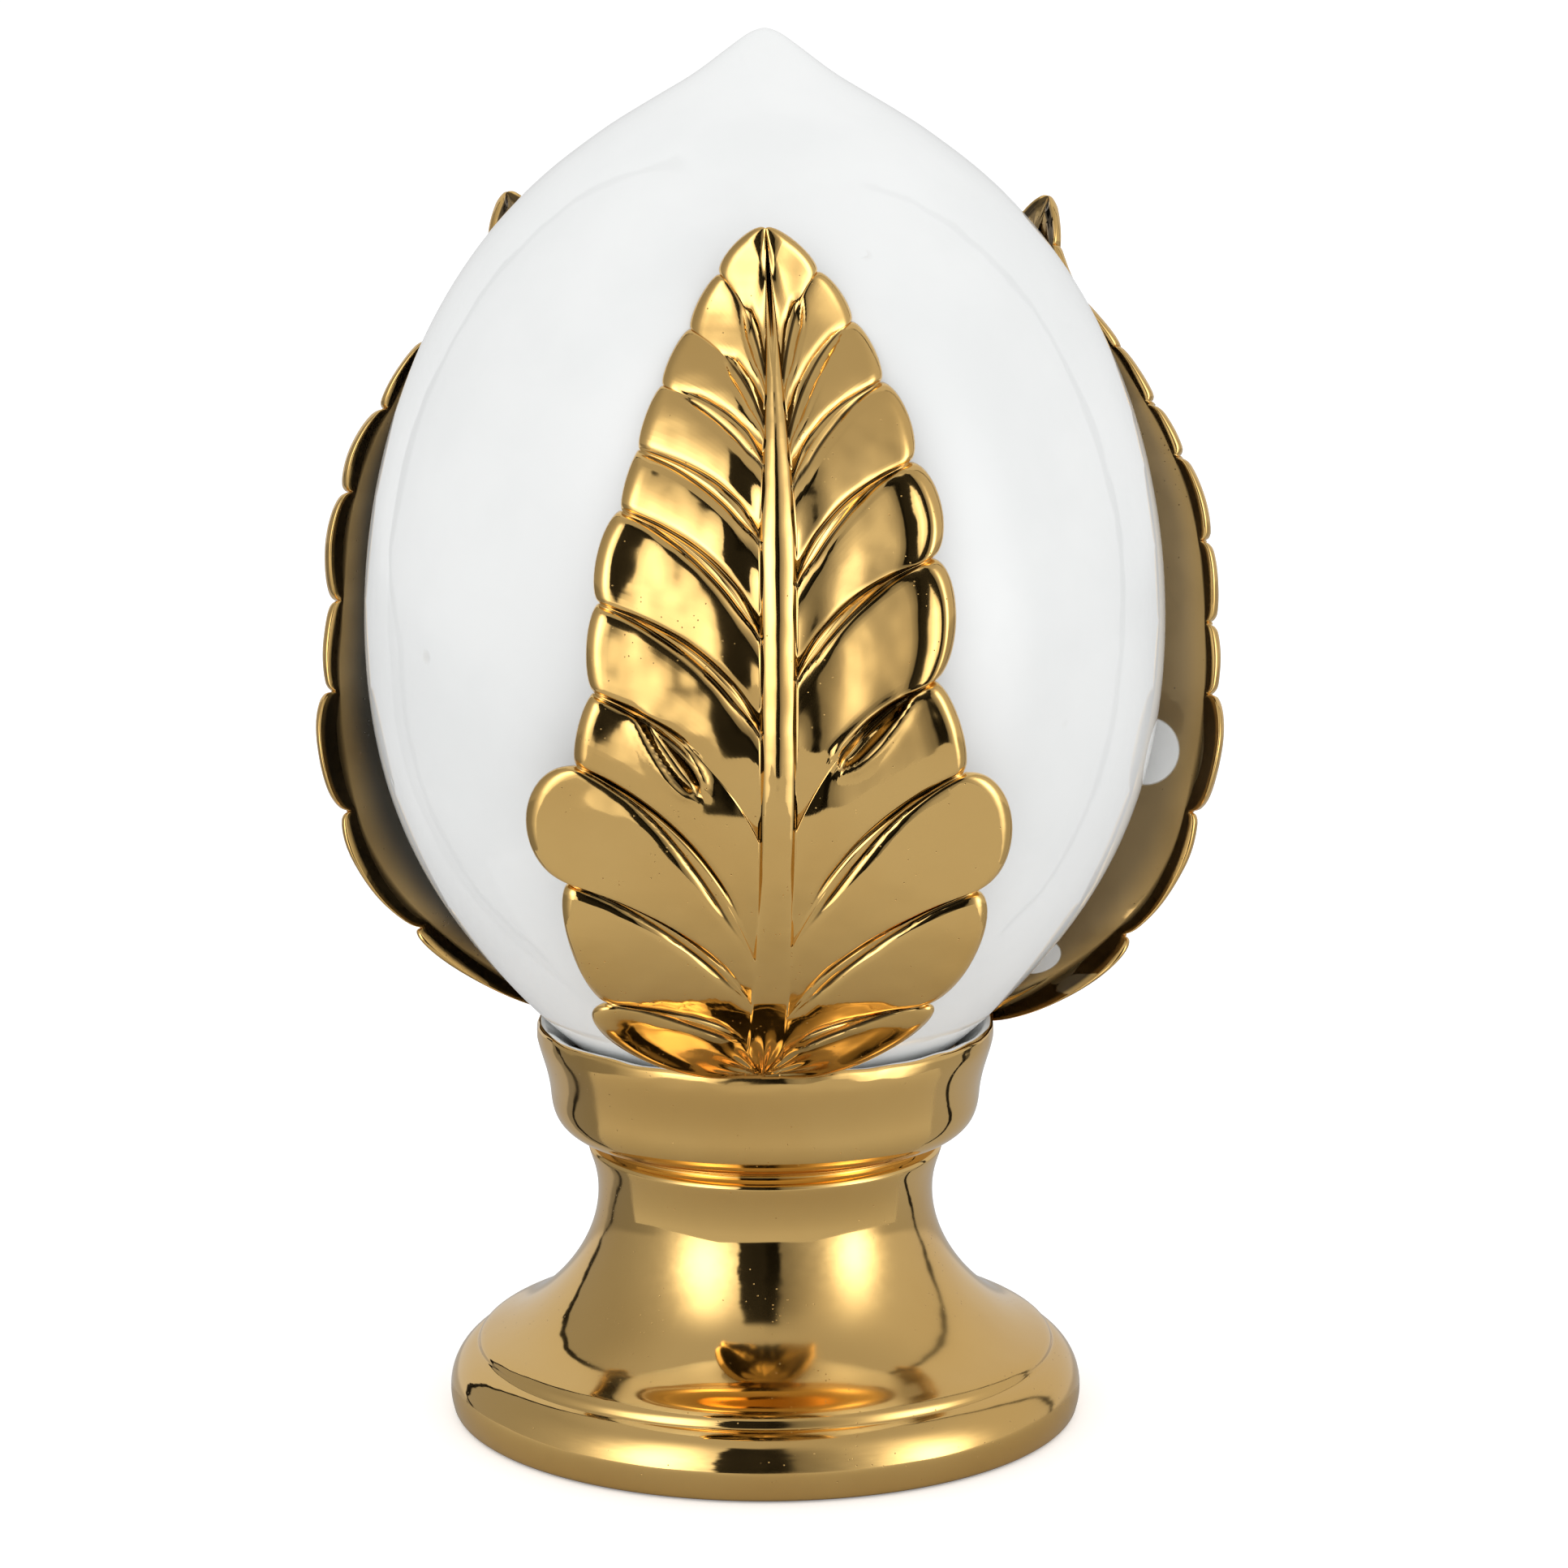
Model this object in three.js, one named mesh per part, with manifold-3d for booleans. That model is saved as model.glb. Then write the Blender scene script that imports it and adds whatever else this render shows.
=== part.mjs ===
import * as THREE from 'three';
import { ParametricGeometry } from 'three/addons/geometries/ParametricGeometry.js';
import { mergeVertices } from 'three/addons/utils/BufferGeometryUtils.js';
import Module from 'manifold-3d';

const wasm = await Module();
wasm.setup();

// Pumo finial: a glazed bud in the cup of a turned foot, with three moulded leaves.
// Millimetres, +Z up, the axis of the turned pieces on z, the foot standing on z = 0.

// Pedestal, from the floor up
const rollRadius = 57.6;
const rollHeight = 11.9;
const rollBulge = 7;
const rollUndercut = 4;
const rollOverlap = 0.3;
const footBevel = 1.2;
const bellRadius = 52.4;
const bellRim = 5.2;
const bellStep = 0.4;
const bellHeight = 28.9;
const waistRadius = 30.4;
const collarRadius = 32.1;
const collarHeight = 8.6;
const coveDepth = 2;
const coveHeight = 2;
const coveRound = 0.4;
const cupRadius = 38.8;
const cupHeight = 21.3;
const cupHeel = 5.2;
const cupFlare = 0.4;
const lipRadius = 41.4;
const lipRound = 0.8;
const troughWidth = 1;
const troughDepth = 1.6;

// Bud
const budRadius = 71.3;
const budHeight = 190.4;
const budSeatDepth = 13;
const budWaist = 0.45;
const budShoulder = 0.9;
const budSeatSlope = 28;
const seatGap = 0.3;

// Leaves
const leafHeight = 148.8;
const leafHalfWidth = 33.5;
const leafCrossRadius = 112;
const leafHeelDrop = 0.9;
const leafPlaces = {
  leaf_front: { turn: 1.8, drop: 0 },
  leaf_right: { turn: 115.5, drop: 2 },
  leaf_left: { turn: -121.5, drop: 2 },
};
const ribWidth = 3.2;
const ribHeight = 1.5;
const ribTaper = 14;
const lobePuff = 1.6;
const edgeRound = 2.4;
const smallLobe = 8;
const veinBend = { across: 0.64, up: 0.31 };
const seamOverlap = 0.5;
const leafCoreDrop = 8;

const eyeLength = 15.2;
const eyeWidth = 2.8;
const eyeDepth = 2.6;

const turnedSides = 36;
const pointGap = 0.01;

const bellBase = rollHeight;
const waistLevel = bellBase + bellHeight;
const collarLevel = waistLevel + collarHeight;
const cupBase = collarLevel + coveHeight;
const lipLevel = cupBase + cupHeight;
const budBase = lipLevel - budSeatDepth;
const budTop = budBase + budHeight;
const seatRadius = lipRadius - lipRound - troughWidth;

// Curve helpers in the (radius, height) plane
function arcPoints(centreX, centreZ, radiusX, radiusZ, from, to, steps) {
  const curve = new THREE.EllipseCurve(centreX, centreZ, radiusX, radiusZ, from, to, to < from);
  return curve.getPoints(steps);
}

function bezierPoints(from, control1, control2, to, steps) {
  const curve = new THREE.CubicBezierCurve(
    new THREE.Vector2(...from),
    new THREE.Vector2(...control1),
    new THREE.Vector2(...control2),
    new THREE.Vector2(...to),
  );
  return curve.getPoints(steps);
}

function withoutRepeats(points) {
  return points.filter((point, i) => i === 0 || point.distanceTo(points[i - 1]) > pointGap);
}

// Bud: the lower half swells from the seat, the upper half is an ellipse that ends in an ogee tip
function budProfile() {
  const widest = budBase + budHeight * budWaist;
  const upper = budTop - widest;
  const inside = bezierPoints(
    [0, budBase],
    [seatRadius * 0.5, budBase],
    [seatRadius * 0.72, lipLevel - seatRadius * 0.27],
    [seatRadius, lipLevel],
    2,
  );
  const lower = bezierPoints(
    [seatRadius, lipLevel],
    [seatRadius + budSeatSlope * 0.71, lipLevel + budSeatSlope * 0.69],
    [budRadius, widest - upper * 0.33],
    [budRadius, widest],
    6,
  );
  const shoulderAngle = Math.acos(0.5);
  const dome = arcPoints(0, widest, budRadius, upper * budShoulder, 0, shoulderAngle, 6);
  const ogee = new THREE.SplineCurve([
    new THREE.Vector2(budRadius * 0.5, widest + upper * budShoulder * Math.sin(shoulderAngle)),
    new THREE.Vector2(budRadius * 0.386, budTop - upper * 0.164),
    new THREE.Vector2(budRadius * 0.271, budTop - upper * 0.116),
    new THREE.Vector2(budRadius * 0.175, budTop - upper * 0.077),
    new THREE.Vector2(budRadius * 0.09, budTop - upper * 0.034),
    new THREE.Vector2(budRadius * 0.036, budTop - upper * 0.008),
    new THREE.Vector2(0, budTop),
  ]).getPoints(8);
  return withoutRepeats([...inside, ...lower, ...dome, ...ogee]);
}

function radiusAt(profile, height) {
  for (let i = 1; i < profile.length; i += 1) {
    const below = profile[i - 1];
    const above = profile[i];
    if (height <= above.y) {
      const share = THREE.MathUtils.clamp((height - below.y) / (above.y - below.y), 0, 1);
      return THREE.MathUtils.lerp(below.x, above.x, share);
    }
  }
  return 0;
}

// The same profile, moved out along its normals
function offsetProfile(profile, distance) {
  return profile.map((point, i) => {
    const before = profile[Math.max(i - 1, 0)];
    const after = profile[Math.min(i + 1, profile.length - 1)];
    const along = after.clone().sub(before).normalize();
    const onAxis = i === 0 || i === profile.length - 1;
    const normal = onAxis ? new THREE.Vector2(0, i === 0 ? -1 : 1) : new THREE.Vector2(along.y, -along.x);
    return point.clone().addScaledVector(normal, distance);
  });
}

// Pedestal: roll, bell, waist, collar, cove, cup and lip, with a seat that fits the bud's bottom
function pedestalProfile() {
  const rollCentre = rollRadius - rollBulge;
  const rollRise = rollHeight - rollUndercut + rollOverlap;
  const rollStart = Math.asin((footBevel - rollUndercut) / rollRise);
  const rollEnd = Math.asin((rollHeight - rollUndercut) / rollRise);
  const roll = arcPoints(rollCentre, rollUndercut, rollBulge, rollRise, rollStart, rollEnd * 0.98, 5);
  const rim = bezierPoints(
    [bellRadius, bellBase + bellStep],
    [bellRadius, bellBase + bellRim * 0.45],
    [bellRadius - bellRim * 0.73, bellBase + bellRim * 0.55],
    [bellRadius - bellRim * 1.44, bellBase + bellRim],
    4,
  );
  const flare = bezierPoints(
    [bellRadius - bellRim * 1.44, bellBase + bellRim],
    [bellRadius - bellRim * 2.4, bellBase + bellRim * 1.59],
    [waistRadius, waistLevel - bellHeight * 0.4],
    [waistRadius, waistLevel],
    5,
  );
  const neck = bezierPoints(
    [waistRadius, waistLevel],
    [waistRadius, waistLevel + collarHeight * 0.5],
    [collarRadius - coveRound, collarLevel - coveDepth],
    [collarRadius, collarLevel - coveRound * 0.75],
    3,
  );
  const coveRadius = collarRadius - coveDepth;
  const cupFootRadius = coveRadius + coveRound * 1.5;
  const cove = [
    new THREE.Vector2(collarRadius - coveRound, collarLevel + coveRound),
    new THREE.Vector2(coveRadius + coveRound, collarLevel + coveHeight * 0.45),
    new THREE.Vector2(coveRadius, collarLevel + coveHeight * 0.7),
    new THREE.Vector2(cupFootRadius, cupBase),
  ];
  const heel = bezierPoints(
    [cupFootRadius, cupBase],
    [cupRadius - cupHeel * 0.3, cupBase + cupHeel * 0.2],
    [cupRadius - cupFlare, cupBase + cupHeel * 0.7],
    [cupRadius, cupBase + cupHeel * 1.4],
    4,
  );
  const wall = bezierPoints(
    [cupRadius, cupBase + cupHeel * 1.4],
    [cupRadius + cupFlare, cupBase + cupHeight * 0.62],
    [lipRadius, lipLevel - lipRound * 5],
    [lipRadius, lipLevel - lipRound * 1.6],
    3,
  );
  const lipTurn = [0.3, Math.PI * 0.61];
  const lip = arcPoints(lipRadius - lipRound, lipLevel - lipRound, lipRound, lipRound, ...lipTurn, 2);
  const seat = offsetProfile(budProfile(), seatGap).filter((point) => point.y < lipLevel - troughDepth);
  return withoutRepeats([
    new THREE.Vector2(0, 0),
    new THREE.Vector2(rollCentre + rollBulge * Math.cos(rollStart) - footBevel, 0),
    ...roll,
    ...rim,
    ...flare,
    ...neck,
    ...cove,
    ...heel,
    ...wall,
    ...lip,
    ...seat.reverse(),
  ]);
}

// Outline of one leaf half, from the tip down. Each row is one lobe, as shares of the leaf's
// half width and height: the notch below the lobe, where its vein meets the midrib, how far the
// lobe stands out of the line between its notches, and how far its end leans up.
const leftLobes = [
  { across: 0.236, up: 0.947, foot: 0.843, out: 0.055, lean: 0 },
  { across: 0.394, up: 0.887, foot: 0.792, out: 0.035, lean: 0 },
  { across: 0.543, up: 0.829, foot: 0.752, out: 0.035, lean: 0 },
  { across: 0.666, up: 0.762, foot: 0.673, out: 0.035, lean: 0 },
  { across: 0.755, up: 0.698, foot: 0.569, out: 0.03, lean: 0 },
  { across: 0.863, up: 0.598, foot: 0.462, out: 0.076, lean: 0 },
  { across: 0.896, up: 0.499, foot: 0.336, out: 0.06, lean: 0.1 },
  { across: 0.985, up: 0.415, foot: 0.186, out: 0.045, lean: 0 },
  { across: 1.012, up: 0.276, foot: 0.122, out: 0.245, lean: 0.08 },
  { across: 0.812, up: 0.121, foot: 0.06, out: 0.1, lean: 0.12 },
  { across: 0.2, up: 0.0, foot: 0.0, out: 0.18, lean: 0.4 },
];
const rightLobes = [
  { across: 0.242, up: 0.949, foot: 0.839, out: 0.05, lean: 0 },
  { across: 0.397, up: 0.894, foot: 0.779, out: 0.045, lean: 0 },
  { across: 0.525, up: 0.831, foot: 0.732, out: 0.05, lean: 0 },
  { across: 0.651, up: 0.748, foot: 0.628, out: 0.08, lean: 0 },
  { across: 0.746, up: 0.646, foot: 0.523, out: 0.115, lean: 0 },
  { across: 0.755, up: 0.511, foot: 0.35, out: 0.128, lean: 0.1 },
  { across: 0.919, up: 0.405, foot: 0.204, out: 0.07, lean: 0.1 },
  { across: 1.0, up: 0.264, foot: 0.101, out: 0.22, lean: 0.08 },
  { across: 0.782, up: 0.116, foot: 0.045, out: 0.135, lean: 0.12 },
  { across: 0.26, up: 0.0, foot: 0.0, out: 0.12, lean: 0.4 },
];
const lobeStations = [0, 0.42, 0.86, 1];
const ribStations = [0, 0.5];
const eyes = [
  { side: -1, across: 0.534, up: 0.4325, tilt: 37 },
  { side: 1, across: 0.469, up: 0.458, tilt: 46 },
];

// How far a leaf's face stands off the bud, as [distance, share of the leaf's height]
const leafStandOffs = [
  [2.5, 0],
  [6.4, 0.12],
  [8.3, 0.25],
  [8.6, 0.4],
  [8.8, 0.55],
  [8.2, 0.66],
  [5.7, 0.76],
  [3.6, 0.84],
  [3.1, 0.9],
  [7, 0.95],
  [13.2, 1],
];

const budOutline = budProfile();
const leafBase = lipLevel - leafHeelDrop;
const standOffCurve = new THREE.SplineCurve(
  leafStandOffs.map(([distance, share]) => new THREE.Vector2(distance, share)),
).getPoints(60);

// The leaf's own middle line bends a little to the left at its tip and foot
function spineShift(share) {
  const tipBend = Math.max(share - 0.72, 0) ** 2 * 18;
  const footBend = Math.max(0.45 - share, 0) ** 2 * 8.6;
  return -tipBend - footBend;
}

// How far the leaf's face stands out from the axis before its carving
function faceDistance(across, share) {
  const height = leafBase + leafHeight * share;
  const standOff = radiusAt(standOffCurve, share);
  return radiusAt(budOutline, height) + standOff - across ** 2 / (2 * leafCrossRadius);
}

// A point of the outline: each lobe is half an ellipse between its two notches
function outlinePoint(lobes, place) {
  const index = Math.min(Math.floor(place), lobes.length - 1);
  const phase = place - index;
  const start = index === 0 ? { across: 0, up: 1 } : lobes[index - 1];
  const lobe = lobes[index];
  const from = new THREE.Vector2(start.across * leafHalfWidth, start.up * leafHeight);
  const to = new THREE.Vector2(lobe.across * leafHalfWidth, lobe.up * leafHeight);
  const chord = to.clone().sub(from);
  const normal = new THREE.Vector2(-chord.y, chord.x).normalize();
  const bulge = normal.multiplyScalar(lobe.out * leafHalfWidth).addScaledVector(chord, -lobe.lean / 2);
  return from
    .add(to)
    .multiplyScalar(0.5)
    .addScaledVector(chord, -Math.cos(Math.PI * phase) / 2)
    .addScaledVector(bulge, Math.sin(Math.PI * phase));
}

function footShare(lobes, place) {
  const index = Math.min(Math.floor(place), lobes.length - 1);
  const start = index === 0 ? 1 : lobes[index - 1].foot;
  return THREE.MathUtils.lerp(start, lobes[index].foot, place - index);
}

// One point of a half's carved face: ribs beside the middle line, then lobes out to the outline
function facePoint(lobes, side, place, station) {
  const foot = footShare(lobes, place) * leafHeight;
  const taper = Math.min(1, (leafHeight - foot) / ribTaper);
  const rib = ribWidth * taper;
  const lobePhase = place - Math.floor(Math.min(place, lobes.length - 0.001));
  if (station < 1) {
    const ridge = ribHeight * taper * THREE.MathUtils.smoothstep(foot / leafHeight, 0.1, 0.35);
    const across = rib * station;
    const lift = ridge * Math.sin(Math.PI * (0.15 + 0.85 * station));
    return leafPoint(across, foot, side, lift);
  }
  const t = station - 1;
  const end = outlinePoint(lobes, place);
  const bend = new THREE.Vector2(
    THREE.MathUtils.lerp(end.x, rib, veinBend.across),
    THREE.MathUtils.lerp(end.y, foot, veinBend.up),
  );
  const point = new THREE.QuadraticBezierCurve(new THREE.Vector2(rib, foot), bend, end).getPoint(t);
  const crest = Math.sin(Math.PI * lobePhase) ** 0.7;
  const puff = lobePuff * crest * (0.35 + 0.65 * Math.sin(Math.PI * Math.min(t / 1.5 + 0.1, 0.5)));
  const reach = Math.hypot(end.x - rib, end.y - foot);
  const size = Math.min(1, reach / smallLobe);
  const roll = Math.max(0, 1 - ((1 - t) * reach) / (edgeRound * 1.6));
  const drop = edgeRound * (1 - Math.sqrt(1 - roll ** 2));
  return leafPoint(point.x, point.y, side, (puff - drop) * size);
}

function leafPoint(across, up, side, lift) {
  const share = up / leafHeight;
  const x = side * across + spineShift(share);
  return new THREE.Vector3(x, -(faceDistance(across, share) + lift), leafBase + up);
}

// The places along a half's outline that get a row: more on the lobes that stand out most
function outlinePlaces(lobes) {
  const places = [];
  lobes.forEach((lobe, index) => {
    const steps = 2 + Math.round(lobe.out * 16);
    for (let i = 0; i < steps; i += 1) {
      places.push(index + i / steps);
    }
  });
  places.push(lobes.length);
  return places;
}

// One half of the leaf as a closed blank: carved face, wall back to the bud and a hidden core
function leafHalf(lobes, side) {
  const stations = [...ribStations, ...lobeStations.map((t) => t + 1)];
  const places = outlinePlaces(lobes);
  const columns = stations.length + 3;
  const loopPoint = (place, column) => {
    const edge = facePoint(lobes, side, place, 2);
    const middle = facePoint(lobes, side, place, 0);
    const coreDepth = -0.5 * radiusAt(budOutline, edge.z);
    const coreDrop = leafCoreDrop * THREE.MathUtils.smoothstep((edge.z - leafBase) / leafHeight, 0.8, 1);
    if (column === 0) {
      return new THREE.Vector3(middle.x - side * seamOverlap, middle.y + seamOverlap, middle.z);
    }
    if (column <= stations.length) {
      return facePoint(lobes, side, place, stations[column - 1]);
    }
    if (column === stations.length + 1) {
      const coreAcross = (edge.x * coreDepth) / edge.y;
      return new THREE.Vector3(coreAcross, coreDepth, edge.z - coreDrop);
    }
    return new THREE.Vector3(middle.x - side * seamOverlap, coreDepth, middle.z - coreDrop);
  };
  const rows = places.length + 1;
  const surface = (u, v, target) => {
    const row = Math.round(u * rows);
    const place = places[THREE.MathUtils.clamp(row - 1, 0, places.length - 1)];
    const column = Math.round((side > 0 ? v : 1 - v) * columns) % columns;
    if (row > 0 && row < rows) {
      target.copy(loopPoint(place, column));
    } else {
      target.copy(loopPoint(place, 1)).lerp(loopPoint(place, columns - 2), 0.5);
    }
  };
  return new ParametricGeometry(surface, rows, columns);
}

// The drop-shaped hollow between two lobes
function eyeHollow(eye) {
  const face = leafPoint(eye.across * leafHalfWidth, eye.up * leafHeight, eye.side, 0.5 * lobePuff);
  return new THREE.SphereGeometry(1, 8, 6)
    .scale(eyeWidth / 2, eyeDepth, eyeLength / 2)
    .rotateY(THREE.MathUtils.degToRad(eye.side * eye.tilt))
    .translate(face.x, face.y, face.z);
}

function turned(profile) {
  return new THREE.LatheGeometry(profile, turnedSides).rotateX(Math.PI / 2);
}

// A closed geometry as a solid that can be joined and cut
function solidOf(geometry) {
  const bare = geometry.clone();
  bare.deleteAttribute('normal');
  bare.deleteAttribute('uv');
  const merged = mergeVertices(bare, 1e-4);
  const corners = merged.index.array;
  const kept = [];
  for (let i = 0; i < corners.length; i += 3) {
    const [a, b, c] = corners.slice(i, i + 3);
    if (a !== b && b !== c && c !== a) {
      kept.push(a, b, c);
    }
  }
  const mesh = new wasm.Mesh({
    numProp: 3,
    vertProperties: Float32Array.from(merged.attributes.position.array),
    triVerts: Uint32Array.from(kept),
  });
  return new wasm.Manifold(mesh);
}

function geometryOf(solid) {
  const mesh = solid.getMesh();
  const geometry = new THREE.BufferGeometry();
  geometry.setAttribute('position', new THREE.BufferAttribute(mesh.vertProperties, 3));
  geometry.setIndex(new THREE.BufferAttribute(mesh.triVerts, 1));
  return geometry;
}

const pedestalOutline = pedestalProfile();
const budRoom = solidOf(turned(offsetProfile(budOutline, seatGap)));
const pedestalRoom = solidOf(turned(offsetProfile(pedestalOutline, seatGap)));

// A leaf lies against the bud and stands on the lip, with the same small gap to both
function leafSolid(place) {
  let leaf = solidOf(leafHalf(leftLobes, -1)).add(solidOf(leafHalf(rightLobes, 1)));
  for (const eye of eyes) {
    leaf = leaf.subtract(solidOf(eyeHollow(eye)));
  }
  const placed = leaf.rotate([0, 0, place.turn]).translate([0, 0, -place.drop]);
  return placed.subtract(budRoom).subtract(pedestalRoom);
}

const whiteGlaze = new THREE.MeshStandardMaterial({ color: 0xeef0ee, roughness: 0.12, metalness: 0 });
const goldLustre = new THREE.MeshStandardMaterial({ color: 0xb8924a, roughness: 0.16, metalness: 1 });

function piece(name, geometry, material) {
  const mesh = new THREE.Mesh(geometry, material.clone());
  mesh.name = name;
  return mesh;
}

const finial = new THREE.Group();
finial.name = 'pumo_finial';
finial.add(piece('bud', turned(budOutline), whiteGlaze));
finial.add(piece('pedestal', turned(pedestalOutline), goldLustre));
for (const [name, place] of Object.entries(leafPlaces)) {
  finial.add(piece(name, geometryOf(leafSolid(place)), goldLustre));
}

export default finial;
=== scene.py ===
import math

import bmesh
import bpy
from mathutils import Matrix, Vector, noise


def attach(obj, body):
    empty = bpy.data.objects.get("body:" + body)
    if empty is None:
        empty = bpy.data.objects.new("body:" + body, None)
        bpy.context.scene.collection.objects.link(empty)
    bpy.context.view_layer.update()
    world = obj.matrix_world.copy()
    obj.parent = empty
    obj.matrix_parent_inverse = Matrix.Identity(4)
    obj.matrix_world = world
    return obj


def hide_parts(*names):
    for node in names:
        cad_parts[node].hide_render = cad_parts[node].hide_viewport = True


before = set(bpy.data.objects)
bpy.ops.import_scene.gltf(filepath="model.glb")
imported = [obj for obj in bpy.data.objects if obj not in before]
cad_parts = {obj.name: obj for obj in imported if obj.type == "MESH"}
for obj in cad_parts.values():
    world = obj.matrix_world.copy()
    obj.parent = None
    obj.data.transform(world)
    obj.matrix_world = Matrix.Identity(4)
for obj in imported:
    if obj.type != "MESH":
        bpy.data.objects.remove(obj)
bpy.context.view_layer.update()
mm = 0.001  # the sizes below are in millimetres
weld = 0.002 * mm  # points nearer to each other than this are merged
print("frame loaded:", sorted(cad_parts))


def lerp(start, end, share):
    return start + (end - start) * share


def ramp(value, low, high):
    # from 0 at low to 1 at high, with soft ends
    share = min(max((value - low) / (high - low), 0.0), 1.0)
    return share * share * (3 - 2 * share)


def bell(offset, width):
    # 1 in the middle, falling off to both sides
    return math.exp(-((offset / width) ** 2))


def bezierPoints(corners, steps):
    a, b, c, d = (Vector(corner) for corner in corners)
    points = []
    for i in range(steps + 1):
        t = i / steps
        s = 1 - t
        points.append(a * s**3 + b * (3 * s * s * t) + c * (3 * s * t * t) + d * t**3)
    return points


def arcPoints(centre, radii, fromAngle, toAngle, steps):
    points = []
    for i in range(steps + 1):
        angle = lerp(fromAngle, toAngle, i / steps)
        across = centre[0] + radii[0] * math.cos(angle)
        up = centre[1] + radii[1] * math.sin(angle)
        points.append(Vector((across, up)))
    return points


def throughPoints(corners, steps):
    # a smooth line through all the corners
    last = len(corners) - 1
    points = [corners[0]]
    for i in range(last):
        before = corners[max(i - 1, 0)]
        after = corners[min(i + 2, last)]
        start, end = corners[i], corners[i + 1]
        startPull = (end - before) / 6
        endPull = (after - start) / 6
        points += bezierPoints((start, start + startPull, end - endPull, end), steps)[1:]
    return points


def evenOut(points, rounds):
    # soften small kinks, the two ends stay
    for _ in range(rounds):
        middle = [(points[i - 1] + points[i] * 2 + points[i + 1]) / 4 for i in range(1, len(points) - 1)]
        points = [points[0]] + middle + [points[-1]]
    return points


def withoutRepeats(points):
    kept = [points[0]]
    for point in points[1:]:
        if (point - kept[-1]).length > 0.02:
            kept.append(point)
    return kept


def valueAt(line, place):
    # reads a line of (place, value) pairs whose places rise
    for i in range(1, len(line)):
        low, high = line[i - 1], line[i]
        if place <= high[0]:
            share = min(max((place - low[0]) / max(high[0] - low[0], 0.0001), 0), 1)
            return lerp(low[1], high[1], share)
    return line[-1][1]


# Sizes of the turned foot, from the floor up
foot = {
    "rollRadius": 57.6, "rollHeight": 11.9, "rollBulge": 7, "rollUndercut": 4, "bevel": 1.2,
    "bellRadius": 52.4, "bellRim": 5.2, "bellHeight": 28.9,
    "waistRadius": 30.4, "collarRadius": 32.1, "collarHeight": 8.6,
    "coveDepth": 2, "coveHeight": 2,
    "cupRadius": 38.8, "cupHeight": 21.3, "cupHeel": 5.2,
    "lipRadius": 41.4, "lipRound": 1.0, "troughWidth": 1.7, "troughDepth": 2.4,
    "lipWaver": 0.6, "lipWiden": 0.006, "waverLength": 9, "turns": 192,
}
waistLevel = foot["rollHeight"] + foot["bellHeight"]
collarLevel = waistLevel + foot["collarHeight"]
cupBase = collarLevel + foot["coveHeight"]
lipLevel = cupBase + foot["cupHeight"]

# The bud. Waist and shoulder are shares of its height and upper part, domeEnd is the share of the
# radius where the dome turns into the ogee tip, and the tip's points are shares across and down.
bud = {
    "radius": 71.3, "height": 190.4, "seatDepth": 13, "waist": 0.45, "shoulder": 0.9, "domeEnd": 0.5,
    "tip": ((0.386, 0.164), (0.271, 0.116), (0.175, 0.077), (0.09, 0.034), (0.036, 0.008), (0, 0)),
    "seatSlope": 28, "seatGap": 0.3, "turns": 192,
}
budBase = lipLevel - bud["seatDepth"]
budTop = budBase + bud["height"]
seatRadius = foot["lipRadius"] - foot["lipRound"] - foot["troughWidth"]


def budOutline():
    # in each curve the two corners in the middle are its handles
    widest = budBase + bud["height"] * bud["waist"]
    upper = budTop - widest
    radius = bud["radius"]
    slope = bud["seatSlope"]
    inside = bezierPoints(((0, budBase), (seatRadius * 0.5, budBase),
                           (seatRadius * 0.72, lipLevel - seatRadius * 0.27), (seatRadius, lipLevel)), 16)
    lower = bezierPoints(((seatRadius, lipLevel), (seatRadius + slope * 0.71, lipLevel + slope * 0.69),
                          (radius, widest - upper * 0.33), (radius, widest)), 40)
    dome = arcPoints((0, widest), (radius, upper * bud["shoulder"]), 0, math.acos(bud["domeEnd"]), 36)
    tip = [Vector((radius * across, budTop - upper * down)) for across, down in bud["tip"]]
    ogee = throughPoints([dome[-1]] + tip, 10)
    return evenOut(withoutRepeats(inside + lower + dome + ogee), 6)


budLine = budOutline()
budRadii = [(point.y, point.x) for point in budLine]


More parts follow.
